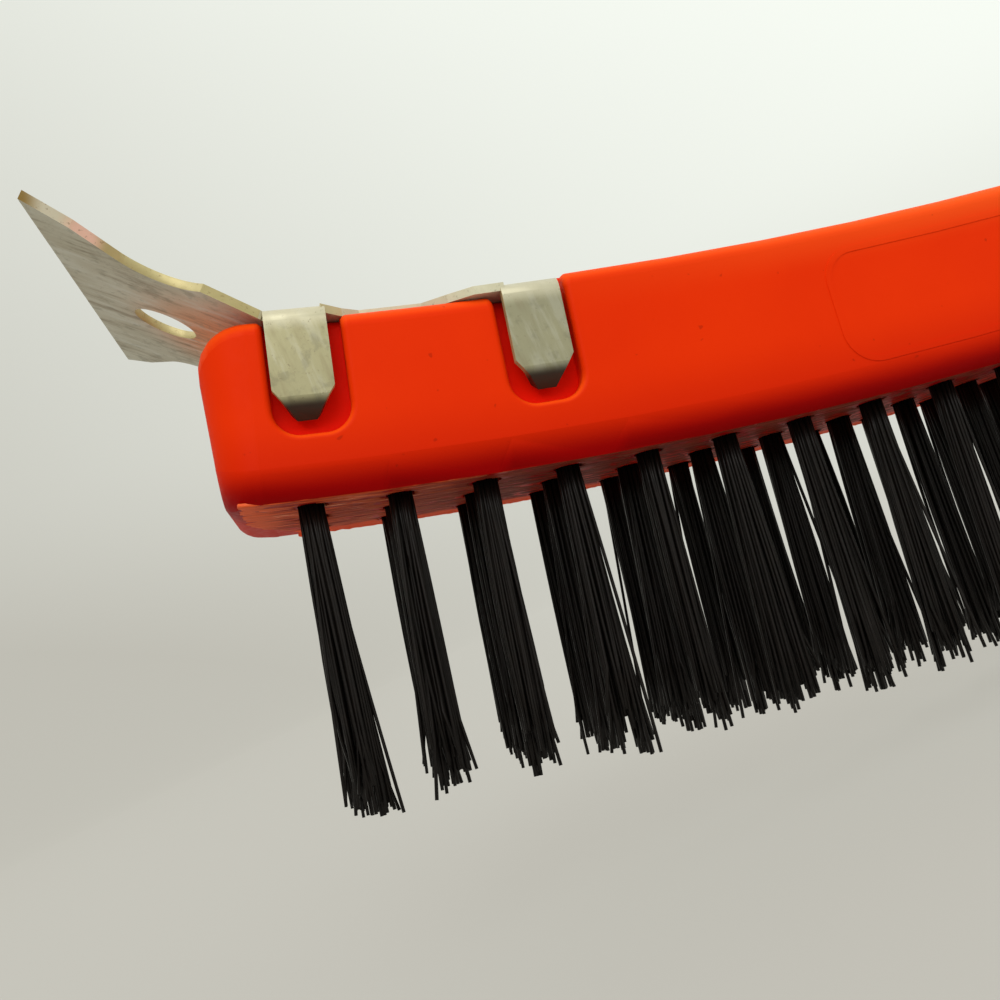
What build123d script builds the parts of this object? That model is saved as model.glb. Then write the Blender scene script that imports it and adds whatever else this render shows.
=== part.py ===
from build123d import *
import os
from math import cos, degrees, pi, radians, sin

# Wire scratch brush: curved plastic block and handle, three rows of steel wire tufts held by
# anchors, and a sheet-steel scraper clipped over the head end. Millimetres, +Z up, bristles
# down, +X from the scraper towards the grip, and y = 0 is the plane of symmetry.
# "s" is the distance along the bottom face from the first column of tufts, and "off" is the
# height above that face.

# --- driving dimensions ---
BLOCK_W = 25.0          # width of the brush block
BLOCK_H = 17.8          # height of the block
BLOCK_TOP_R = 1.5       # rounding of its upper long edges
BLOCK_BOTTOM_R = 3.2    # rounding of its lower long edges, before the underside is ground flat
GROUND = 0.4            # depth ground off the underside
ARC_R = 470.0           # radius of the bottom face
PITCH = 8.2             # tuft spacing along the block
ROW_PITCH = 7.0         # tuft spacing across the block
COLUMNS = 19
ROWS = 3
TRIM = 27.0             # wire showing below the block
TOUCH_S = 134.0         # where the brush rests on its tips, under its centre of mass
BLOCK_END_S = 154.0     # where the block turns into the grip

HEAD_S = -7.85          # lower edge of the head end's flat face
HEAD_LEAN = 5.0         # how far that face leans out at its top, in degrees
HEAD_R = 3.7            # rounding of the head end, in plan and at its top
HEAD_RISE = 1.2         # rise of the underside at the head end
NOSE_STEPS = 6          # sections that shape one rounded end

GRIP_R = 900.0          # radius of the grip's bottom line
GRIP_W = 22.0
GRIP_H = 20.0
GRIP_EDGE_R = 7.0
GRIP_NECK_S = 190.0     # where the grip has its own section
END_S = 333.0           # far end of the grip
END_R = 6.5             # rounding of the far end
END_TURN = 80.0         # how far round the far end's sections go, in degrees
NECK_STEPS = 4          # sections from the block to the grip
HANG_S = 320.0          # station of the hanging hole
HANG_D = 8.0

HOLE_D = 3.0            # drilled tuft holes
HOLE_DEPTH = 10.6
TUFT_D = 2.9            # a bundle at its root
TUFT_TIP_D = 4.6        # the same bundle, spread at its tips
ANCHOR = (4.2, 0.4, 2.0)    # flat wire anchor: along the block, across it, and up
ANCHOR_OFF = 8.4        # middle of an anchor

SHEET = 0.8             # scraper sheet thickness
SEAT_OFF = 16.45        # rebate floor that the scraper lies on
SEAT_END_S = 26.4       # end of the rebate
TAB_S = (0.5, 22.95)    # centres of the two pairs of tabs; the sheet ends with the second pair
TAB_W = 5.5
TAB_TIP_W = 1.6
TAB_OUT = 13.1          # outer face of the tabs from the centre plane
TAB_BEND = 1.3          # outer bend radius
TAB_KNEE_OFF = 8.5      # where a tab turns in
TAB_TAPER_OFF = 9.6     # where a tab starts to narrow
TAB_TIP = 1.9           # length of the turned-in tip
TAB_TIP_ANGLE = 50.0    # how far the tip turns in

POCKET_S = (1.0, 22.9)  # centres of the two pairs of pockets
POCKET_W = 7.0
POCKET_OFF = 5.6        # bottom of a pocket
POCKET_DEPTH = 2.2
POCKET_CORNER_R = 2.4
POCKET_LIP_R = 0.6      # rounding of the pocket's mouth
POCKET_TOP_R = 0.9      # rounding where its floor meets the seat

HINGE_S = -2.6          # fold line between the flat sheet and the blade
BLADE_ANGLE = 26.1      # how far the blade rises
BLADE_L = 19.1          # fold line to cutting edge
BLADE_HOLE_D = 6.2
BLADE_HOLE_U = 10.8     # fold line to the centre of the hole
# half outline of the blade: distance from the fold line, distance from the centre plane
ROOT = (0.0, 12.1)
SHOULDER = (5.3, 13.9)
NECK = (8.9, 12.7)
FLARE = (12.5, 14.4)
WING = (15.7, 18.4)
CORNER = (BLADE_L, 21.0)
# half outline of the sheet on the block between the two pairs of tabs: station, distance
# from the centre plane
WAIST = ((3.3, 12.7), (5.2, 10.9), (6.8, 9.9), (12.7, 9.9), (15.0, 11.4), (17.3, 12.7), (20.1, 12.8))

PANEL_S = (53.3, 132.0)     # raised border of the plain panel on each side of the block
PANEL_OFF = (3.0, 15.0)
PANEL_R = 3.5
PANEL_LINE = 0.6
PANEL_RAISE = 0.07


# --- stations along the curved brush ---
def station(s):
    """Point on the bottom line at distance s, with the line's slope in radians."""
    end = (min(s, BLOCK_END_S) - TOUCH_S) / ARC_R
    x = ARC_R * sin(end)
    z = TRIM + ARC_R * (1 - cos(end))
    if s <= BLOCK_END_S:
        return x, z, end
    slope = end + (s - BLOCK_END_S) / GRIP_R
    x += GRIP_R * (sin(slope) - sin(end))
    z += GRIP_R * (cos(end) - cos(slope))
    return x, z, slope


def lift(s, off):
    """Point in the side view at height off above the bottom line."""
    x, z, slope = station(s)
    return x - off * sin(slope), z + off * cos(slope)


def upright(s, off=0.0):
    """Plane level with the bottom face: X along the brush, Y across it, Z away from the bristles."""
    x, z = lift(s, off)
    slope = station(s)[2]
    return Plane((x, 0, z), x_dir=(cos(slope), 0, sin(slope)), z_dir=(-sin(slope), 0, cos(slope)))


def crosswise(s, lean=0.0):
    """Plane of a cross-section: X across the brush, Y up its height, leaning towards the head end."""
    x, z, slope = station(s)
    slope += lean
    return Plane((x, 0, z), x_dir=(0, 1, 0), z_dir=(cos(slope), 0, sin(slope)))


SIDE = Plane((0, 0, 0), x_dir=(1, 0, 0), z_dir=(0, -1, 0))
ARC_AXIS = Axis((0, 0, TRIM + ARC_R), (0, -1, 0))


def along_arc(face, s0, s1):
    """Sweep a cross-section at s0 along the block's arc to s1."""
    return revolve(face, axis=ARC_AXIS, revolution_arc=degrees((s1 - s0) / ARC_R))


# --- block and grip ---
def rounded_section(s, width, bottom, top, top_r, bottom_r, lean=0.0):
    """Rounded rectangular cross-section at one station, without the part that is ground off."""
    face = Pos(0, (top + bottom) / 2) * Rectangle(width, top - bottom)
    face = fillet(face.vertices().group_by(Axis.Y)[-1], top_r)
    face = fillet(face.vertices().group_by(Axis.Y)[0], bottom_r)
    if bottom < 0:
        face -= Pos(0, bottom) * Rectangle(width, -2 * bottom)
    return crosswise(s, lean) * face


def block_section(s, top=BLOCK_H, inset=0.0, rise=0.0, lean=0.0):
    return rounded_section(
        s, BLOCK_W - 2 * inset, rise - GROUND, top - inset, BLOCK_TOP_R, BLOCK_BOTTOM_R, lean
    )


def nose():
    """Rounded head end, up to the scraper's seat: the section grows along a quarter circle."""
    sections = []
    for i in range(NOSE_STEPS + 1):
        turn = pi / 2 * i / NOSE_STEPS
        sections.append(block_section(
            HEAD_S + HEAD_R * (1 - cos(turn)),
            top=SEAT_OFF,
            inset=HEAD_R * (1 - sin(turn)),
            rise=HEAD_RISE * (1 - sin(turn)),
            lean=radians(HEAD_LEAN) * cos(turn),
        ))
    return loft(sections)


def block():
    """Even length of the block, with the rebate at its head for the scraper."""
    start_s = HEAD_S + HEAD_R
    body = along_arc(block_section(start_s), start_s, BLOCK_END_S)
    above = crosswise(start_s) * Pos(0, SEAT_OFF) * Rectangle(2 * BLOCK_W, BLOCK_H)
    above -= block_section(start_s, top=SEAT_OFF)
    return body - along_arc(above, start_s, SEAT_END_S)


def ease(t):
    return t * t * (3 - 2 * t)


def grip_section(s, inset=0.0):
    """Section of the grip: the block's own at its start, then rounder and narrower."""
    t = ease(min(1.0, (s - BLOCK_END_S) / (GRIP_NECK_S - BLOCK_END_S)))
    width = BLOCK_W + (GRIP_W - BLOCK_W) * t
    height = BLOCK_H + (GRIP_H - BLOCK_H) * t
    top_r = BLOCK_TOP_R + (GRIP_EDGE_R - BLOCK_TOP_R) * t
    bottom_r = BLOCK_BOTTOM_R + (GRIP_EDGE_R - BLOCK_BOTTOM_R) * t
    ground = GROUND * (1 - t)
    shrink = 0.6 * inset
    return rounded_section(
        s, width - 2 * inset, inset - ground, height - inset, top_r - shrink, bottom_r - shrink
    )


def grip():
    """Grip: a transition from the block, an even length and a rounded end."""
    step = (GRIP_NECK_S - BLOCK_END_S) / NECK_STEPS
    neck = loft([grip_section(BLOCK_END_S + step * i) for i in range(NECK_STEPS + 1)])
    x, z, slope = station(BLOCK_END_S)
    axis = Axis((x - GRIP_R * sin(slope), 0, z + GRIP_R * cos(slope)), (0, -1, 0))
    even_end_s = END_S - END_R
    even = revolve(
        grip_section(GRIP_NECK_S), axis=axis, revolution_arc=degrees((even_end_s - GRIP_NECK_S) / GRIP_R)
    )
    end_sections = []
    for i in range(NOSE_STEPS + 1):
        turn = radians(END_TURN) * i / NOSE_STEPS
        end_sections.append(grip_section(even_end_s + END_R * sin(turn), END_R * (1 - cos(turn))))
    return neck + even + loft(end_sections)


def mouth_plane(s, side):
    """Side face of the block at one station: X along the brush, Y up, Z into the block."""
    x, z, slope = station(s)
    return Plane((x, side * BLOCK_W / 2, z), x_dir=(cos(slope), 0, sin(slope)), z_dir=(0, -side, 0))


def pocket(s, side):
    """Recess for one tab, open at the top."""
    height = BLOCK_H + 2 - POCKET_OFF
    profile = Pos(0, POCKET_OFF + height / 2) * Rectangle(POCKET_W, height)
    profile = fillet(profile.vertices().group_by(Axis.Y)[0], POCKET_CORNER_R)
    if side < 0:
        profile = mirror(profile, Plane.XZ)
    face = mouth_plane(s, side) * profile
    return extrude(face, POCKET_DEPTH) + extrude(face, -2)


def mouth_edges(body, s, side):
    """Edges where a pocket opens in the side face."""
    plane = mouth_plane(s, side)

    def on_mouth(edge):
        middle = plane.to_local_coords(edge.center())
        ends = [plane.to_local_coords(edge @ t) for t in (0, 1)]
        flush = all(abs(point.Z) < 0.01 for point in [middle] + ends)
        return flush and abs(middle.X) < POCKET_W / 2 + 0.1 and abs(middle.Y) > POCKET_OFF - 0.1

    return body.edges().filter_by(on_mouth)


def pocket_rim(s, side):
    """Waste outside the rounding between a pocket's floor and the scraper's seat."""
    floor_y = side * (BLOCK_W / 2 - POCKET_DEPTH)
    inner_y = floor_y - side * POCKET_TOP_R
    corner = Pos((floor_y + inner_y) / 2, SEAT_OFF) * Rectangle(POCKET_TOP_R, 2 * POCKET_TOP_R)
    corner -= Pos(inner_y, SEAT_OFF - POCKET_TOP_R) * Circle(POCKET_TOP_R)
    return extrude(crosswise(s) * corner, POCKET_W / 2, both=True)


def panel_border(side):
    """Thin raised line round the plain panel."""
    s0, s1 = PANEL_S
    low, high = PANEL_OFF
    middle = (s0 + s1) / 2
    outline = Wire([
        Line(lift(s0, low), lift(s0, high)),
        ThreePointArc(lift(s0, high), lift(middle, high), lift(s1, high)),
        Line(lift(s1, high), lift(s1, low)),
        ThreePointArc(lift(s1, low), lift(middle, low), lift(s0, low)),
    ])
    outer = make_face(outline)
    outer = fillet(outer.vertices(), PANEL_R)
    ring = outer - offset(outer, -PANEL_LINE)
    return Pos(0, side * BLOCK_W / 2, 0) * extrude(SIDE * ring, PANEL_RAISE, both=True)


def tuft_stations():
    """Name, station and distance from the centre plane of every tuft."""
    for row in range(ROWS):
        for column in range(COLUMNS):
            y = (row - (ROWS - 1) / 2) * ROW_PITCH
            yield f"tuft_r{row + 1}_c{column + 1:02d}", column * PITCH, y


def tuft_frame(s, y):
    """Plane at the mouth of a tuft's hole, looking up the hole."""
    base = upright(s)
    return Plane(base.origin + Vector(0, y, 0), x_dir=base.x_dir, z_dir=base.z_dir)


def anchor_box():
    return Pos(0, 0, ANCHOR_OFF) * Box(*ANCHOR)


def tuft_hole():
    """Drilled hole, with the slot that the anchor cuts in its wall."""
    bore = Pos(0, 0, HOLE_DEPTH / 2 - 1) * Cylinder(HOLE_D / 2, HOLE_DEPTH + 2)
    return bore + anchor_box()


def make_handle():
    body = nose() + block() + grip()
    mouths = [(s, side) for s in POCKET_S for side in (-1, 1)]
    for s, side in mouths:
        body -= pocket(s, side)
    for s, side in mouths:
        body = fillet(mouth_edges(body, s, side), POCKET_LIP_R)
    for s, side in mouths:
        body -= pocket_rim(s, side)
    for side in (-1, 1):
        body += panel_border(side)
    body -= upright(HANG_S, GRIP_H / 2) * Cylinder(HANG_D / 2, 2 * GRIP_H)
    for _, s, y in tuft_stations():
        body -= tuft_frame(s, y) * tuft_hole()
    return body


# --- wire tufts and their anchors ---
def make_tuft():
    """One bundle folded over its anchor, straight in the hole and spread below it."""
    root_r = TUFT_D / 2
    tip_r = TUFT_TIP_D / 2
    top = HOLE_DEPTH - 0.1
    shoulder = 0.5 * root_r
    profile = make_face(Wire([
        Line((0, -TRIM), (tip_r, -TRIM)),
        Line((tip_r, -TRIM), (root_r, 0)),
        Line((root_r, 0), (root_r, top - shoulder)),
        Line((root_r, top - shoulder), (root_r - shoulder, top)),
        Line((root_r - shoulder, top), (0, top)),
        Line((0, top), (0, -TRIM)),
    ]))
    return revolve(Plane.XZ * profile, Axis.Z) - anchor_box()


# --- scraper ---
def sheet_on_block():
    """Flat part of the scraper: it follows the seat, and is cut in between its pairs of tabs."""
    band = Pos(0, SEAT_OFF + SHEET / 2) * Rectangle(2 * TAB_OUT, SHEET)
    half = TAB_W / 2
    end_s = TAB_S[1] + half
    sheet = along_arc(crosswise(HINGE_S) * band, HINGE_S, end_s)
    fold_y = TAB_OUT - TAB_BEND
    past = 3.0      # the plan reaches past both ends of the sheet
    outline = [(HINGE_S - past, ROOT[1]), (TAB_S[0] - half, ROOT[1]), (TAB_S[0] - half, fold_y)]
    outline += [(TAB_S[0] + half, fold_y), (TAB_S[0] + half, WAIST[0][1])]
    outline += list(WAIST)
    outline += [(TAB_S[1] - half, WAIST[-1][1]), (TAB_S[1] - half, fold_y), (end_s + past, fold_y)]
    middle = (TAB_S[0] + TAB_S[1]) / 2
    points = [(s - middle, y) for s, y in outline]
    points += [(x, -y) for x, y in reversed(points)]
    plan = make_face(Polyline(points, close=True))
    return sheet & extrude(upright(middle) * plan, 3 * BLOCK_H)


def tab(s, side):
    """Tab down one side of the block, with its tapered tip turned into the pocket."""
    level = SEAT_OFF + SHEET / 2
    down_y = TAB_OUT - SHEET / 2
    turn = radians(TAB_TIP_ANGLE)
    tip = (down_y - TAB_TIP * sin(turn), TAB_KNEE_OFF - TAB_TIP * cos(turn))
    points = [(TAB_OUT - 2 * TAB_BEND, level), (down_y, level), (down_y, TAB_KNEE_OFF), tip]
    path = FilletPolyline([(side * y, off) for y, off in points], radius=TAB_BEND - SHEET / 2)
    path = crosswise(s) * path
    start = Plane(path @ 0, x_dir=upright(s).x_dir, z_dir=path % 0)
    strip = sweep(start * Rectangle(TAB_W, SHEET), path=path)
    half = TAB_W / 2
    tip_half = TAB_TIP_W / 2
    x, z, slope = station(s)
    face = Polyline([
        (-half, 2 * BLOCK_H), (half, 2 * BLOCK_H), (half, TAB_TAPER_OFF), (tip_half, tip[1] - SHEET / 2),
        (-tip_half, tip[1] - SHEET / 2), (-half, TAB_TAPER_OFF),
    ], close=True)
    front = Plane((x, 0, z), x_dir=(cos(slope), 0, sin(slope)), z_dir=(0, -1, 0))
    return strip & extrude(front * make_face(face), 2 * BLOCK_W, both=True)


def blade_plane():
    """Underside of the blade at the fold: X out along the blade, Z towards its upper face."""
    x, z = lift(HINGE_S, SEAT_OFF)
    rise = pi - radians(BLADE_ANGLE) + station(HINGE_S)[2]
    return Plane((x, 0, z), x_dir=(cos(rise), 0, sin(rise)), z_dir=(sin(rise), 0, -cos(rise)))


def blade():
    """Flared scraping blade with its round hole."""
    edges = []
    for side in (1, -1):
        root, shoulder, neck, flare, wing, corner = (
            (u, side * y) for u, y in (ROOT, SHOULDER, NECK, FLARE, WING, CORNER)
        )
        edges += [
            Line(root, shoulder), ThreePointArc(shoulder, neck, flare), Line(flare, wing),
            Line(wing, corner), Line(corner, (BLADE_L, 0)), Line(root, (0, 0)),
        ]
    face = make_face(Wire(edges))
    face -= Pos(BLADE_HOLE_U, 0) * Circle(BLADE_HOLE_D / 2)
    return blade_plane() * extrude(face, SHEET)


def make_scraper():
    body = sheet_on_block() + blade()
    for s in TAB_S:
        for side in (-1, 1):
            body += tab(s, side)
    return body


def write(name, shape):
    shape.label = name
    export_step(shape, f"parts/{name}.step")


os.makedirs("parts", exist_ok=True)
pieces = {"handle": make_handle(), "scraper": make_scraper()}
anchors = []
for name, s, y in tuft_stations():
    pieces[name] = tuft_frame(s, y) * make_tuft()
    anchors.append(tuft_frame(s, y) * anchor_box())
pieces["anchors"] = Compound(anchors)

# the part stands centred on its origin, with its lowest wire tips on z = 0
box = Compound(list(pieces.values())).bounding_box()
centred = Pos(-(box.min.X + box.max.X) / 2, 0, -box.min.Z)
for name, piece in pieces.items():
    write(name, centred * piece)
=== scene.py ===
import math
import random
from collections import namedtuple

import bpy
from mathutils import Euler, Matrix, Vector, noise


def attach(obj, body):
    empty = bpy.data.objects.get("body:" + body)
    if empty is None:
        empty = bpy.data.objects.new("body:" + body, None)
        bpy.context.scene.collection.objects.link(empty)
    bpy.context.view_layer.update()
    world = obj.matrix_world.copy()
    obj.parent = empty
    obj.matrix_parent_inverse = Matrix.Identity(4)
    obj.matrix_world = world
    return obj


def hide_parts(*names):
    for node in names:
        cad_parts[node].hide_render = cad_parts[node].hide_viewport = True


# Wire scratch brush: orange moulded handle, clip-on steel scraper and tufts of dark wire.
# Metres, in the frame of the CAD: +X towards the grip, +Z away from the bristles.
# "s" is the distance along the underside from the first column of tufts, and "off" is the
# height above the underside.
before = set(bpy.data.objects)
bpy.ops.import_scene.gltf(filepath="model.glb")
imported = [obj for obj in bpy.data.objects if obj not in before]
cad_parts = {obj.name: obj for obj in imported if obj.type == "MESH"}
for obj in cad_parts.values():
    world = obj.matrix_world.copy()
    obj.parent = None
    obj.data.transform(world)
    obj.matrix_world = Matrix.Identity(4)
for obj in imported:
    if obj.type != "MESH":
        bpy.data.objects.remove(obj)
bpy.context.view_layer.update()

MM = 0.001
SEED = 20

# --- sizes shared with the CAD ---
ARC_R = 470.0 * MM          # radius of the block's underside
TOUCH_S = 134.0 * MM        # lowest point of the underside
BLOCK_END_S = 154.0 * MM
PITCH = 8.2 * MM            # tuft spacing along the block
ROW_PITCH = 7.0 * MM        # tuft spacing across the block
TRIM = 27.0 * MM            # wire showing below the block
LOW_END = 1.4 * MM          # heights that the tilted ends of a tuft's solid lie within
HIGH_END = 0.5 * MM
HOLE_R = 1.5 * MM           # drilled tuft holes
COLUMNS = 19
ROWS = 3
SEAT_OFF = 16.45 * MM       # level of the scraper's underside
SEAT_END_S = 26.4 * MM      # end of the rebate that the scraper lies in
HINGE_S = -2.6 * MM         # fold between the scraper's flat sheet and its blade
BLADE_ANGLE = 26.1          # rise of the blade from the sheet, in degrees
TAB_KNEE_OFF = 8.5 * MM     # where a tab turns in

# --- camera ---
LENS = 36.0
SENSOR = 36.0
CAMERA_AT = Vector((-161.56, -99.62, 31.3)) * MM
CAMERA_TURN = (95.445, 24.80, -9.782)      # degrees, in XYZ order

# --- wires ---
WIRE_R = 0.17 * MM
WIRES_PER_TUFT = 56
WIRE_SIDES = 6
WIRE_STEPS = 6
ROOT_SPREAD = 1.06 * MM     # radius of the bundle where it leaves the block
TIP_SPREAD = 1.9 * MM
CLUMPS = 5                  # groups that the wires of a tuft gather into at their tips
CLUMP_RING = 0.62           # how far out they are, as a share of the tuft's radius
HEAD_LEAN = 0.05            # lean of the first tufts towards the grip, per unit of length
LEANING_COLUMNS = 4
HEAD_EXTRA = 1.4 * MM       # extra length of the first tufts
ROOT_DEPTH = 1.0 * MM       # how far the wires go into their hole
MEAN_SHORT = 1.0 * MM       # how much shorter than the trim a wire of mean length is
SHORTEST = -2.6 * MM        # least and greatest difference from the mean length
LONGEST = 1.9 * MM
STRAY_SHARE = 0.05          # wires that stand out from their tuft
HOOKED_SHARE = 0.2          # wires with a bent tip

# --- ground underside ---
GROUND_S = -6.3 * MM        # where grinding starts at the near side of the head end
SMOOTH_CORNER = 4.6 * MM    # how much later it starts at the far side
GROUND_Y = 10.8 * MM        # half its width
GROUND_CELL = (0.4 * MM, 0.3 * MM)
GROUND_DEPTH = 0.16 * MM    # roughness of the ground surface
LIP_W = 0.9 * MM            # torn lip at its far edge
LIP_DEPTH = 0.22 * MM
BURR_S = -1.0 * MM          # larger burr on that lip
BURR_DEPTH = 0.75 * MM
SKIN = 0.25 * MM            # how far the torn skin goes into the block


# --- places on the block ---
def middle_of(points):
    """Centre of a ring of points, each place counted once."""
    places = {tuple(round(c, 7) for c in p) for p in points}
    return sum((Vector(p) for p in places), Vector()) / len(places)


def tuft_axis(node):
    """Mouth of a tuft's hole and the direction its wires point, from the two ends of its CAD solid."""
    points = [v.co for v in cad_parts[node].data.vertices]
    low = min(p.z for p in points)
    high = max(p.z for p in points)
    tip = middle_of([p for p in points if p.z < low + LOW_END])
    top = middle_of([p for p in points if p.z > high - HIGH_END])
    down = (tip - top).normalized()
    return tip - down * TRIM, down


START_ANGLE = -TOUCH_S / ARC_R
TO_CENTRE = Vector((-math.sin(START_ANGLE), 0, math.cos(START_ANGLE)))
ARC_CENTRE = tuft_axis("tuft_r2_c01")[0] + ARC_R * TO_CENTRE


def at(s, off=0.0, y=0.0):
    """Point at station s, at height off and at distance y across the block."""
    angle = START_ANGLE + s / ARC_R
    reach = ARC_R - off
    return ARC_CENTRE + Vector((reach * math.sin(angle), y, -reach * math.cos(angle)))


# --- small helpers ---
def new_mesh(name, vertices, faces):
    mesh = bpy.data.meshes.new(name)
    mesh.from_pydata([tuple(v) for v in vertices], [], faces)
    mesh.update()
    mesh.shade_smooth()
    piece = bpy.data.objects.new(name, mesh)
    bpy.context.collection.objects.link(piece)
    return piece


def give(piece, material):
    piece.data.materials.clear()
    piece.data.materials.append(material)


def smooth_step(value, low, high):
    t = min(1.0, max(0.0, (value - low) / (high - low)))
    return t * t * (3 - 2 * t)


class Graph:
    """Node tree of one material, with short calls to add and join nodes."""

    def __init__(self, name):
        self.material = bpy.data.materials.new(name)
        self.material.use_nodes = True
        self.tree = self.material.node_tree
        self.shader = self.tree.nodes["Principled BSDF"]

    def add(self, kind, **inputs):
        node = self.tree.nodes.new("ShaderNode" + kind)
        for key, value in inputs.items():
            self.feed(node, key.replace("_", " "), value)
        return node

    def feed(self, node, key, value):
        socket = node.inputs[key]
        if isinstance(value, bpy.types.NodeSocket):
            self.tree.links.new(value, socket)
        else:
            socket.default_value = value

    def coordinates(self, kind="Object"):
        return self.add("TexCoord").outputs[kind]

    def scaled(self, place, scale):
        """The place, stretched by a different amount along each axis."""
        node = self.add("Mapping", Scale=scale)
        self.feed(node, "Vector", place)
        return node.outputs["Vector"]

    def block_place(self, place):
        """Station, height and distance across the block, as three values in metres."""
        parts = self.add("SeparateXYZ", Vector=place).outputs
        across = self.math("SUBTRACT", parts["X"], ARC_CENTRE.x)
        below = self.math("SUBTRACT", ARC_CENTRE.z, parts["Z"])
        angle = self.math("SUBTRACT", self.math("ARCTAN2", across, below), START_ANGLE)
        squares = self.math("ADD", self.times(across, across), self.times(below, below))
        off = self.math("SUBTRACT", ARC_R, self.math("SQRT", squares))
        return self.times(angle, ARC_R), off, parts["Y"]

    def joined(self, x, y, z):
        return self.add("CombineXYZ", X=x, Y=y, Z=z).outputs["Vector"]

    def noise(self, place, scale, detail=3.0, roughness=0.5):
        node = self.add("TexNoise", Scale=scale, Detail=detail, Roughness=roughness)
        self.feed(node, "Vector", place)
        return node.outputs["Fac"]

    def band(self, value, low, high, to_low=0.0, to_high=1.0):
        """Value between low and high, spread over a new range and held at its ends."""
        node = self.add("MapRange", Value=value, From_Min=low, From_Max=high, To_Min=to_low, To_Max=to_high)
        node.interpolation_type = "SMOOTHSTEP"
        return node.outputs["Result"]

    def math(self, operation, a, b=0.0):
        node = self.add("Math")
        node.operation = operation
        self.feed(node, 0, a)
        self.feed(node, 1, b)
        return node.outputs[0]

    def times(self, *values):
        """Product of several values."""
        product = values[0]
        for value in values[1:]:
            product = self.math("MULTIPLY", product, value)
        return product

    def opposite(self, value):
        return self.math("SUBTRACT", 1.0, value)

    def facing(self, direction):
        """Cosine between the surface's normal and a direction."""
        node = self.add("VectorMath")
        node.operation = "DOT_PRODUCT"
        self.feed(node, 0, self.coordinates("Normal"))
        self.feed(node, 1, direction)
        return node.outputs["Value"]

    def near(self, place, point, reach):
        """1 at a point, falling to 0 at distance reach."""
        node = self.add("VectorMath")
        node.operation = "DISTANCE"
        self.feed(node, 0, place)
        self.feed(node, 1, point)
        return self.band(node.outputs["Value"], 0.3 * reach, reach, 1.0, 0.0)

    def mix(self, factor, a, b):
        node = self.add("Mix")
        node.data_type = "RGBA"
        self.feed(node, "Factor", factor)
        for socket, value in zip([s for s in node.inputs if s.type == "RGBA"], (a, b)):
            self.feed(node, list(node.inputs).index(socket), value)
        return [s for s in node.outputs if s.type == "RGBA"][0]

    def bump(self, height, strength, distance):
        return self.add("Bump", Strength=strength, Distance=distance, Height=height).outputs["Normal"]

    def set(self, **inputs):
        for key, value in inputs.items():
            self.feed(self.shader, key.replace("_", " "), value)


def colour(r, g, b):
    """Linear colour from display values of 0 to 255."""
    def linear(v):
        v /= 255.0
        return v / 12.92 if v <= 0.04045 else ((v + 0.055) / 1.055) ** 2.4
    return (linear(r), linear(g), linear(b), 1.0)


# --- materials ---
def painted_block_shade_and_highlight(g, base, s, off, y):
    """Painted light and shade on the block: painted shade makes it deeper orange low down and red on the
    near lower fillet and in the pockets; painted highlight makes it paler on top and along the upper edge.
    """
    on_block = g.band(s, BLOCK_END_S - 10.0 * MM, BLOCK_END_S + 10.0 * MM, 1.0, 0.0)
    # painted shade: deeper orange towards the underside of the block
    low = g.times(on_block, g.band(off, 0.5 * MM, 8.0 * MM, 1.0, 0.0))
    base = g.mix(low, base, colour(200, 32, 2))
    # painted highlight: paler orange where the surface faces up
    base = g.mix(g.band(g.facing((0.0, 0.0, 1.0)), 0.1, 0.7), base, colour(238, 72, 12))
    # painted highlight: paler band along the upper edge, growing towards the grip
    painted_top_highlight = g.times(g.band(off, 13.0 * MM, 17.5 * MM), g.band(s, 10.0 * MM, 110.0 * MM))
    base = g.mix(painted_top_highlight, base, colour(246, 92, 30))
    # painted shade: dark red on the near lower fillet
    near_side = g.band(y, -7.0 * MM, 2.0 * MM, 1.0, 0.0)
    fillet = g.times(on_block, near_side, g.band(off, 0.3 * MM, 3.1 * MM, 1.0, 0.0))
    base = g.mix(fillet, base, colour(150, 2, 2))
    # painted shade: deeper red in the pockets
    inward = g.band(g.math("ABSOLUTE", y), 10.5 * MM, 11.8 * MM, 1.0, 0.0)
    past_head = g.band(s, -3.4 * MM, -2.7 * MM)
    before_step = g.band(s, SEAT_END_S + 0.1 * MM, SEAT_END_S + 0.6 * MM, 1.0, 0.0)
    pockets = g.times(inward, past_head, before_step, g.band(off, 4.0 * MM, 5.0 * MM))
    return g.mix(pockets, base, colour(240, 24, 2))


def plastic():
    """Satin orange plastic with a few dark specks."""
    g = Graph("orange_plastic")
    place = g.coordinates()
    cloud = g.noise(place, 90.0, 3.0)
    grain = g.noise(place, 1500.0, 3.0)
    specks = g.band(g.noise(place, 1000.0, 1.0), 0.76, 0.8, 0.0, 0.35)
    base = g.mix(cloud, colour(217, 42, 2), colour(228, 51, 3))
    # painted shade and painted highlight over the block's own orange
    base = painted_block_shade_and_highlight(g, base, *g.block_place(place))
    g.set(
        Base_Color=g.mix(specks, base, colour(120, 20, 4)),
        Roughness=g.band(grain, 0.3, 0.7, 0.38, 0.5),
        Normal=g.bump(grain, 0.15, 0.05 * MM),
        Specular_IOR_Level=0.03,
    )
    return g.material


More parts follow.
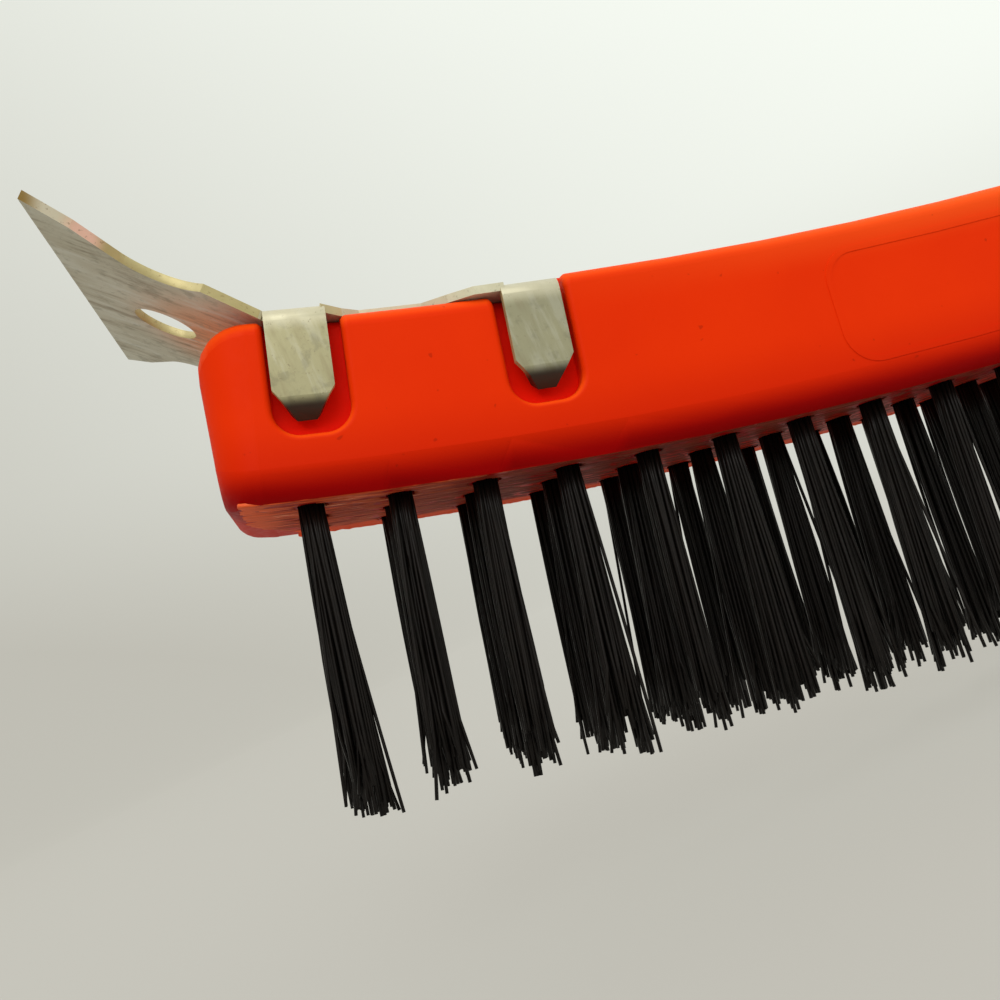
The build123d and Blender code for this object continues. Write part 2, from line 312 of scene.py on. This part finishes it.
def ground_plastic():
    """Plastic torn by grinding: streaks along the block, darkened by painted shade among the tufts, paler
    at the head and bright at the far edge.
    """
    g = Graph("ground_plastic")
    s, off, y = g.block_place(g.coordinates())
    streaks = g.noise(g.joined(g.times(s, 0.12), g.times(y, 1.6), off), 1400.0, 4.0, 0.65)
    patches = g.noise(g.joined(g.times(s, 0.5), y, 0.0), 420.0, 3.0)
    base = g.mix(g.band(streaks, 0.38, 0.62), colour(140, 30, 8), colour(228, 92, 44))
    base = g.mix(g.band(patches, 0.48, 0.7), base, colour(196, 76, 28))
    base = g.mix(g.band(streaks, 0.6, 0.7, 0.0, 0.9), base, colour(246, 184, 146))
    # painted shade: darker along the block, among the tufts
    base = g.mix(g.band(s, 0.0, 24.0 * MM, 0.0, 0.8), base, colour(92, 20, 8))
    base = g.mix(g.band(s, -5.6 * MM, -2.0 * MM, 0.75, 0.0), base, colour(236, 100, 52))
    margin = g.math("ADD", y, g.times(patches, 4.0 * MM))
    base = g.mix(g.band(margin, 9.0 * MM, 10.6 * MM, 0.0, 0.9), base, colour(250, 80, 24))
    g.set(
        Base_Color=base,
        Roughness=0.7,
        Normal=g.bump(streaks, 0.7, 0.15 * MM),
        Specular_IOR_Level=0.15,
    )
    return g.material


def blade_axes():
    """Direction out along the blade from its fold, and the normal of its upper face."""
    rise = math.pi - math.radians(BLADE_ANGLE) + START_ANGLE + HINGE_S / ARC_R
    return Vector((math.cos(rise), 0, math.sin(rise))), Vector((math.sin(rise), 0, -math.cos(rise)))


def blade_point(reach, y):
    """Point of the blade at a distance from its fold and a distance across."""
    return at(HINGE_S, SEAT_OFF, y) + blade_axes()[0] * reach


def past_fold(g, place):
    """1 on the blade and 0 on the rest of the sheet."""
    out = blade_axes()[0]
    node = g.add("VectorMath")
    node.operation = "DOT_PRODUCT"
    g.feed(node, 0, place)
    g.feed(node, 1, out)
    reach = g.math("SUBTRACT", node.outputs["Value"], out.dot(at(HINGE_S, SEAT_OFF)))
    return g.band(reach, 0.0, 0.1 * MM)


def sheared_edges(g, on_blade):
    """1 on the sheared edges of the sheet and 0 on its rolled faces."""
    blade_edge = g.band(g.math("ABSOLUTE", g.facing(blade_axes()[1])), 0.35, 0.65, 1.0, 0.0)
    along = (at(PITCH) - at(0)).normalized()
    tab_edge = g.band(g.math("ABSOLUTE", g.facing(along)), 0.5, 0.8)
    return g.add("Mix", Factor=on_blade, A=tab_edge, B=blade_edge).outputs[0]


def edge_line(g, on_blade):
    """1 on the narrow rounding between a sheared edge of the blade and its rolled face."""
    turned = g.math("ABSOLUTE", g.facing(blade_axes()[1]))
    return g.times(g.band(turned, 0.5, 0.7), g.band(turned, 0.93, 0.99, 1.0, 0.0), on_blade)


def face_colour(g, place, s, on_blade):
    """Clean sheet: duller on the second pair of tabs and warm by the fold, under the blade."""
    cloud = g.noise(place, 190.0, 3.0)
    tab = g.mix(cloud, colour(142, 137, 102), colour(176, 169, 130))
    dull_tab = g.mix(cloud, colour(126, 123, 98), colour(160, 156, 124))
    tab = g.mix(g.band(s, 6.0 * MM, 18.0 * MM), tab, dull_tab)
    blade = g.mix(cloud, colour(168, 160, 134), colour(206, 204, 186))
    base = g.mix(on_blade, tab, blade)
    underside = g.band(g.facing(blade_axes()[1]), -0.8, -0.2, 1.0, 0.0)
    by_fold = g.near(place, at(HINGE_S, SEAT_OFF), 16.0 * MM)
    return g.mix(g.times(by_fold, on_blade, underside), base, colour(220, 134, 70))


def stains_and_painted_highlight(g, base, place, off, on_blade, smear, grit):
    """Stains, rubbed streaks and grit over the sheet, and a painted highlight on the top bend of each tab.
    """
    mottle = g.noise(place, 700.0, 4.0, 0.6)
    base = g.mix(g.band(mottle, 0.52, 0.68, 0.0, 0.4), base, colour(112, 108, 84))
    stain = g.times(g.band(smear, 0.5, 0.66), g.band(on_blade, 0.0, 1.0, 0.2, 0.5))
    base = g.mix(stain, base, colour(112, 90, 58))
    rubbed = g.times(g.band(smear, 0.34, 0.48, 1.0, 0.0), g.band(on_blade, 0.0, 1.0, 0.15, 0.4))
    base = g.mix(rubbed, base, colour(206, 206, 196))
    # painted highlight: paler band on the top bend of each tab
    painted_bend_highlight = g.band(off, SEAT_OFF - 1.8 * MM, SEAT_OFF - 0.4 * MM, 0.0, 0.7)
    base = g.mix(g.times(painted_bend_highlight, g.opposite(on_blade)), base, colour(206, 200, 172))
    return g.mix(g.band(grit, 0.6, 0.72, 0.0, 0.55), base, colour(112, 100, 74))


def edge_colour(g, place, grit):
    """Straw-coloured cut edge: pale by the wing, pink by the flare and brown at the near corner."""
    straw = g.mix(g.noise(place, 420.0, 2.0), colour(170, 155, 102), colour(204, 192, 142))
    wing = g.near(place, blade_point(17.6 * MM, -19.4 * MM), 3.6 * MM)
    straw = g.mix(wing, straw, colour(214, 206, 182))
    flare = g.near(place, blade_point(14.6 * MM, -17.4 * MM), 2.6 * MM)
    straw = g.mix(flare, straw, colour(244, 204, 184))
    corner = g.near(place, blade_point(19.4 * MM, -20.6 * MM), 2.4 * MM)
    straw = g.mix(corner, straw, colour(150, 122, 62))
    return g.mix(g.band(grit, 0.58, 0.68, 0.0, 0.6), straw, colour(128, 98, 58))


def sheet_steel():
    """Dull zinc-plated sheet: smeared faces, straw-coloured cut edges, a painted highlight on each tab's
    top bend and turned-in tab tips darkened by painted shade.
    """
    g = Graph("zinc_sheet")
    place = g.coordinates()
    s, off = g.block_place(place)[:2]
    on_blade = past_fold(g, place)
    along_blade = g.noise(g.scaled(place, (0.25, 1.0, 0.25)), 520.0, 5.0, 0.65)
    down_tab = g.noise(g.scaled(place, (1.0, 1.0, 0.15)), 900.0, 4.0, 0.6)
    smear = g.add("Mix", Factor=on_blade, A=down_tab, B=along_blade).outputs[0]
    grit = g.noise(place, 2400.0, 4.0, 0.7)
    base = stains_and_painted_highlight(g, face_colour(g, place, s, on_blade), place, off, on_blade, smear, grit)
    base = g.mix(sheared_edges(g, on_blade), base, edge_colour(g, place, grit))
    base = g.mix(g.times(edge_line(g, on_blade), 0.7), base, colour(96, 66, 40))
    # painted shade: dark turned-in tab tips, facing down where little light reaches
    tip = g.band(off, TAB_KNEE_OFF - 0.6 * MM, TAB_KNEE_OFF + 0.4 * MM, 1.0, 0.0)
    g.set(
        Base_Color=g.mix(g.times(tip, g.opposite(on_blade)), base, colour(50, 42, 30)),
        Metallic=0.35,
        Roughness=g.band(smear, 0.3, 0.7, 0.4, 0.55),
        Normal=g.bump(grit, 0.25, 0.05 * MM),
    )
    return g.material


def wire_steel():
    """Dark tempered wire, streaked along its length."""
    g = Graph("dark_wire")
    place = g.coordinates()
    tone = g.noise(place, 900.0, 2.0)
    streak = g.noise(g.scaled(place, (1.0, 1.0, 0.08)), 5000.0, 2.0)
    base = g.mix(tone, colour(8, 6, 5), colour(24, 18, 14))
    g.set(
        Base_Color=base,
        Metallic=0.3,
        Roughness=g.band(streak, 0.3, 0.7, 0.35, 0.5),
        Specular_IOR_Level=0.25,
    )
    return g.material


def glowing_backdrop():
    """Backdrop that glows as painted light, darkest and warmest on the floor and paler up the wall and
    towards the grip.
    """
    g = Graph("backdrop")
    place = g.add("SeparateXYZ", Vector=g.coordinates()).outputs
    slope = g.math("ADD", g.times(place["X"], 0.6), g.times(place["Z"], 0.4))
    climb = g.math("ADD", slope, g.band(place["Z"], 0.0, 0.5, 0.0, 0.3))
    pale = g.add("MapRange", Value=climb, From_Min=-0.1, From_Max=1.2).outputs["Result"]
    g.set(
        Base_Color=(0.1, 0.1, 0.095, 1.0),
        Emission_Color=g.mix(pale, (0.41, 0.398, 0.35, 1.0), (0.84, 0.88, 0.82, 1.0)),
        Emission_Strength=1.0,
        Roughness=0.9,
    )
    return g.material


# --- ground underside of the block ---
def ground_start(y):
    """Station where the ground part starts: the far corner of the head end is left smooth."""
    ragged = noise.noise((0.0, y / (1.1 * MM), 3.0))
    return GROUND_S + SMOOTH_CORNER * smooth_step(y, 0.0, 10.5 * MM) + 0.5 * MM * ragged


def ground_level(s, y):
    """Height of the torn surface: fine grooves along the block and a lip at its far edge."""
    groove = noise.noise((s / (5.0 * MM), y / (0.45 * MM), 0.0))
    tear = noise.noise((s / (1.4 * MM), y / (0.9 * MM), 7.0))
    lip = smooth_step(y, GROUND_Y - LIP_W, GROUND_Y)
    ragged = 0.5 + 0.5 * noise.noise((s / (0.8 * MM), 2.0, 5.0))
    burr = math.exp(-((s - BURR_S) / LIP_W) ** 2)
    depth = GROUND_DEPTH * (0.65 + 0.4 * groove + 0.35 * tear)
    return -max(0.03 * MM, depth) - lip * ragged * (LIP_DEPTH + BURR_DEPTH * burr)


def in_hole(s, y):
    column = round(s / PITCH)
    row = round(y / ROW_PITCH)
    inside = 0 <= column < COLUMNS and abs(row) <= (ROWS - 1) // 2
    return inside and math.hypot(s - column * PITCH, y - row * ROW_PITCH) < 1.08 * HOLE_R


def closed_slab(name, lower, upper, faces):
    """Solid between two matching grids of points: faces index both grids."""
    count = len(lower)
    edges = {}
    for face in faces:
        for a, b in zip(face, face[1:] + face[:1]):
            edges[(a, b)] = edges.get((a, b), 0) + 1
    walls = [(b, a, a + count, b + count) for a, b in edges if (b, a) not in edges]
    tops = [tuple(i + count for i in reversed(face)) for face in faces]
    used = sorted({i for face in list(faces) + tops for i in face})
    place = {old: new for new, old in enumerate(used)}
    points = list(lower) + list(upper)
    kept = [tuple(place[i] for i in face) for face in list(faces) + tops + walls]
    return new_mesh(name, [points[i] for i in used], kept)


def make_ground_face():
    """Thin torn skin over the flat of the underside, open round every tuft."""
    step_s, step_y = GROUND_CELL
    wide = round(2 * GROUND_Y / step_y)
    long = round((BLOCK_END_S - GROUND_S) / step_s)
    lower, upper, where = [], [], []
    for i in range(long + 1):
        for j in range(wide + 1):
            y = -GROUND_Y + 2 * GROUND_Y * j / wide
            start = ground_start(y)
            s = start + (BLOCK_END_S - start) * i / long
            ragged = 1 + 0.012 * noise.noise((s / (0.9 * MM), 9.0, 1.0))
            where.append((s, y))
            lower.append(at(s, ground_level(s, y), y * ragged))
            upper.append(at(s, SKIN, y * ragged))
    faces = []
    for i in range(long):
        for j in range(wide):
            a = i * (wide + 1) + j
            corners = (a, a + wide + 1, a + wide + 2, a + 1)
            middle = [sum(where[c][k] for c in corners) / 4 for k in (0, 1)]
            if not in_hole(*middle):
                faces.append(corners)
    piece = closed_slab("ground_face", lower, upper, faces)
    give(piece, ground_plastic())
    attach(piece, "root")


# --- tufts ---
Tuft = namedtuple("Tuft", "mouth down side across lean spread trim clumps")


def add_tube(vertices, faces, points, radius, sides):
    """Closed tube along points."""
    start = len(vertices)
    for i, point in enumerate(points):
        ahead = points[min(i + 1, len(points) - 1)] - points[max(i - 1, 0)]
        turn = ahead.to_track_quat("Z", "Y")
        for k in range(sides):
            angle = 2 * math.pi * k / sides
            vertices.append(point + turn @ Vector((radius * math.cos(angle), radius * math.sin(angle), 0)))
    for i in range(len(points) - 1):
        for k in range(sides):
            a = start + i * sides + k
            b = start + i * sides + (k + 1) % sides
            faces.append((a, b, b + sides, a + sides))
    faces.append(tuple(start + k for k in reversed(range(sides))))
    faces.append(tuple(start + (len(points) - 1) * sides + k for k in range(sides)))


def bundle_spots(rng):
    """Places in a round bundle of radius 1, evenly packed."""
    golden = math.pi * (3 - math.sqrt(5))
    turn = rng.uniform(0, 2 * math.pi)
    for i in range(WIRES_PER_TUFT):
        radius = math.sqrt((i + 0.5) / WIRES_PER_TUFT)
        angle = turn + i * golden
        yield Vector((radius * math.cos(angle), radius * math.sin(angle)))


def clumps_of(rng):
    """Middles of the groups at the tips, each with its own extra length."""
    turn = rng.uniform(0, 2 * math.pi)
    for i in range(CLUMPS):
        angle = turn + 2 * math.pi * i / CLUMPS
        yield CLUMP_RING * Vector((math.cos(angle), math.sin(angle))), rng.gauss(0, 1.0) * MM


def scatter(rng, size):
    """Random offset across a wire."""
    return Vector((rng.gauss(0, size), rng.gauss(0, size)))


def wire_path(rng, spot, tuft):
    """Centre line of one wire: out of its hole, then spreading and drawn towards its group."""
    clump, extra = min(tuft.clumps, key=lambda c: (c[0] - spot).length)
    tip = spot.lerp(clump, rng.uniform(0.15, 0.55)) * tuft.spread
    tip += scatter(rng, 0.12 * MM)
    if rng.random() < STRAY_SHARE:
        tip += spot.normalized() * rng.uniform(0.4, 2.2) * MM
    root = spot * ROOT_SPREAD
    uneven = extra + rng.gauss(0, 0.7) * MM
    length = tuft.trim - MEAN_SHORT + max(SHORTEST, min(uneven, LONGEST))
    sway = scatter(rng, 0.16 * MM)
    hook = Vector((0, 0))
    if rng.random() < HOOKED_SHARE:
        hook = Vector((rng.uniform(-0.8, 0.8), rng.uniform(-0.8, 0.8))) * MM
    points = []
    for step in range(WIRE_STEPS + 1):
        t = step / WIRE_STEPS
        reach = t * (length + ROOT_DEPTH) - ROOT_DEPTH
        flat = root.lerp(tip, t ** 1.1) + sway * math.sin(math.pi * t)
        if step == WIRE_STEPS:
            flat += hook
        points.append(
            tuft.mouth + tuft.side * (flat.x + tuft.lean * reach) + tuft.across * flat.y + tuft.down * reach
        )
    return points


def laid_out(rng, node, column):
    """Place, lean, spread and length of one tuft's wires."""
    mouth, down = tuft_axis(node)
    across = Vector((0, 1, 0))
    lean = HEAD_LEAN * max(0.0, 1 - (column - 1) / LEANING_COLUMNS) + rng.gauss(0, 0.012)
    return Tuft(
        mouth=mouth,
        down=down,
        side=down.cross(across).normalized(),
        across=across,
        lean=lean,
        spread=TIP_SPREAD * (0.9 if column < 3 else rng.uniform(0.75, 1.2)),
        trim=TRIM + (HEAD_EXTRA if column == 1 else 0.0),
        clumps=list(clumps_of(rng)),
    )


def make_tuft(node, column, material, rng):
    tuft = laid_out(rng, node, column)
    vertices, faces = [], []
    for spot in bundle_spots(rng):
        add_tube(vertices, faces, wire_path(rng, spot, tuft), WIRE_R, WIRE_SIDES)
    piece = new_mesh(node.replace("tuft", "wires"), vertices, faces)
    give(piece, material)
    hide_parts(node)
    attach(piece, "root")


def make_tufts():
    rng = random.Random(SEED)
    material = wire_steel()
    for row in range(1, ROWS + 1):
        for column in range(1, COLUMNS + 1):
            make_tuft(f"tuft_r{row}_c{column:02d}", column, material, rng)


# --- finish of the CAD pieces ---
def soften(piece, width):
    """Small rounding on every sharp edge of a CAD piece, to catch the light."""
    weld = piece.modifiers.new("weld", "WELD")
    weld.merge_threshold = 0.001 * MM
    bevel = piece.modifiers.new("bevel", "BEVEL")
    bevel.width = width
    bevel.segments = 2
    bevel.limit_method = "ANGLE"
    bevel.angle_limit = math.radians(35)
    bevel.harden_normals = True


def finish_cad_pieces():
    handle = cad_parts["handle"]
    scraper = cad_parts["scraper"]
    steel = sheet_steel()
    give(handle, plastic())
    give(scraper, steel)
    give(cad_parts["anchors"], steel)
    soften(scraper, 0.14 * MM)
    # keeps the long facets of the lower fillet free of shadow edges
    handle.cycles.shadow_terminator_geometry_offset = 1.0
    handle.cycles.shadow_terminator_offset = 0.2


# --- stage ---
def make_backdrop():
    """Round floor that curves up into a pale wall all round."""
    flat, bend, rise = 0.9, 0.7, 1.6
    rings = [(flat * share, 0.0) for share in (0.02, 0.25, 0.5, 0.75, 0.95, 1.0)]
    steps = 12
    for i in range(1, steps + 1):
        angle = math.pi / 2 * i / steps
        rings.append((flat + bend * math.sin(angle), bend * (1 - math.cos(angle))))
    rings.append((flat + bend, rise))
    sides = 96
    vertices = [Vector((r * math.cos(2 * math.pi * k / sides), r * math.sin(2 * math.pi * k / sides), z))
                for r, z in rings for k in range(sides)]
    faces = [tuple(range(sides))]
    for i in range(len(rings) - 1):
        for k in range(sides):
            a, b = i * sides + k, i * sides + (k + 1) % sides
            faces.append((a, a + sides, b + sides, b))
    floor = new_mesh("backdrop", vertices, faces)
    give(floor, glowing_backdrop())


def make_lights():
    """Pale sky, and one large soft lamp on the near side."""
    world = bpy.data.worlds.new("sky")
    world.use_nodes = True
    sky = world.node_tree.nodes["Background"].inputs
    sky["Color"].default_value = (1.0, 1.0, 0.98, 1.0)
    sky["Strength"].default_value = 1.1
    bpy.context.scene.world = world
    lamp = bpy.data.lights.new("key", "AREA")
    lamp.shape = "DISK"
    lamp.size = 0.9
    lamp.energy = 6.0
    holder = bpy.data.objects.new("key", lamp)
    holder.location = (-0.3, -0.8, 0.7)
    holder.rotation_euler = (Vector((-0.12, 0, 0.05)) - holder.location).to_track_quat("-Z", "Y").to_euler()
    bpy.context.collection.objects.link(holder)


def make_camera():
    camera = bpy.data.cameras.new("camera")
    camera.lens = LENS
    camera.sensor_width = SENSOR
    camera.clip_start = 0.005
    holder = bpy.data.objects.new("camera", camera)
    holder.location = CAMERA_AT
    holder.rotation_euler = Euler([math.radians(v) for v in CAMERA_TURN], "XYZ")
    bpy.context.collection.objects.link(holder)
    bpy.context.scene.camera = holder
    bpy.context.scene.view_settings.view_transform = "Standard"


make_camera()
finish_cad_pieces()
make_ground_face()
make_tufts()
make_backdrop()
make_lights()
